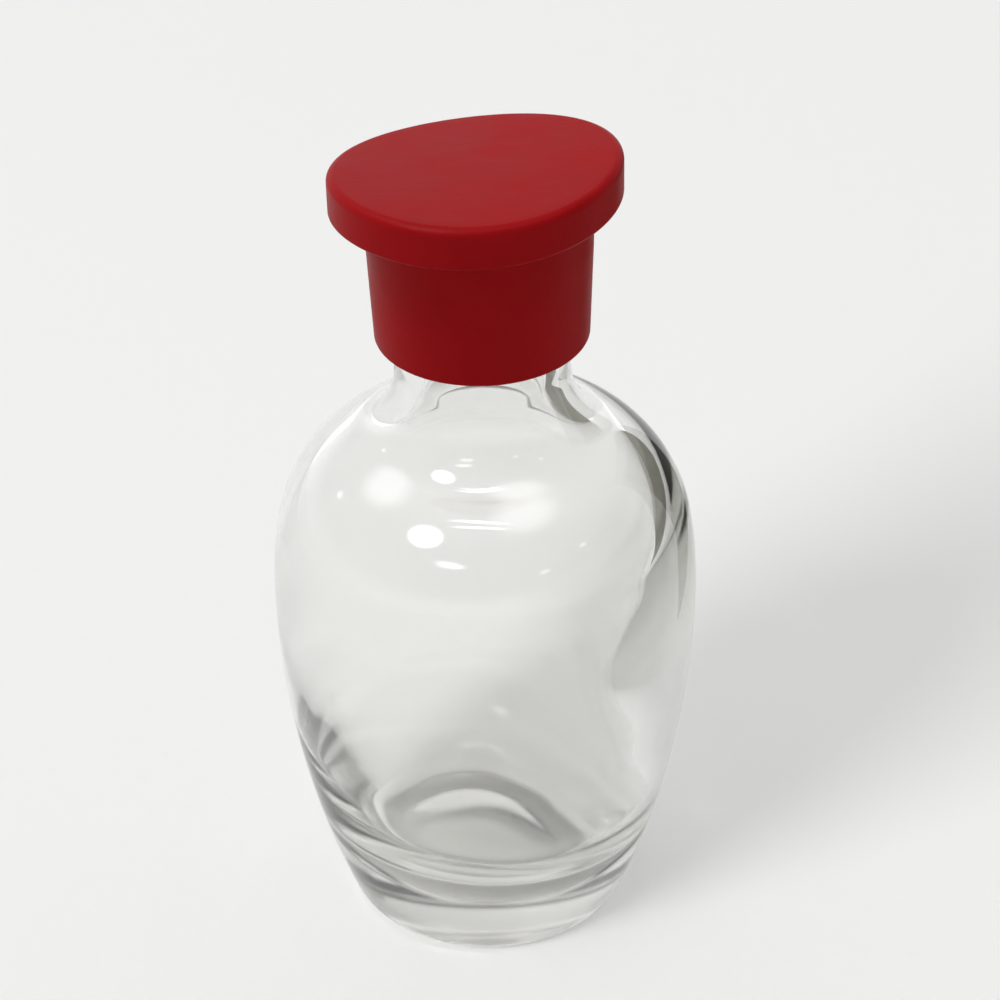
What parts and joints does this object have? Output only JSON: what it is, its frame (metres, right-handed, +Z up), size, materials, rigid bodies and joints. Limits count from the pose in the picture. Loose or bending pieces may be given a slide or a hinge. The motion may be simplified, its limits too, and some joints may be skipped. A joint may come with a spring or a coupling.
{
  "type": "soy sauce dispenser bottle",
  "caption": "Empty clear glass table dispenser for soy sauce, egg-shaped with a short neck and a thick foot, under a red plastic cap with a wide slanted disc.",
  "frame": {"origin": "middle of the round foot, on the surface that the bottle stands on", "axes": "+Z up along the bottle's axis, -Y towards the viewer of the picture, +X to the viewer's right"},
  "size_m": [0.064, 0.064, 0.1294],
  "materials": {
    "glass": "clear, smooth soda-lime glass",
    "red_plastic": "moulded, semi-gloss"
  },
  "bodies": {
    "root": {"bottle": "glass", "cap": "red_plastic"}
  },
  "joints": []
}
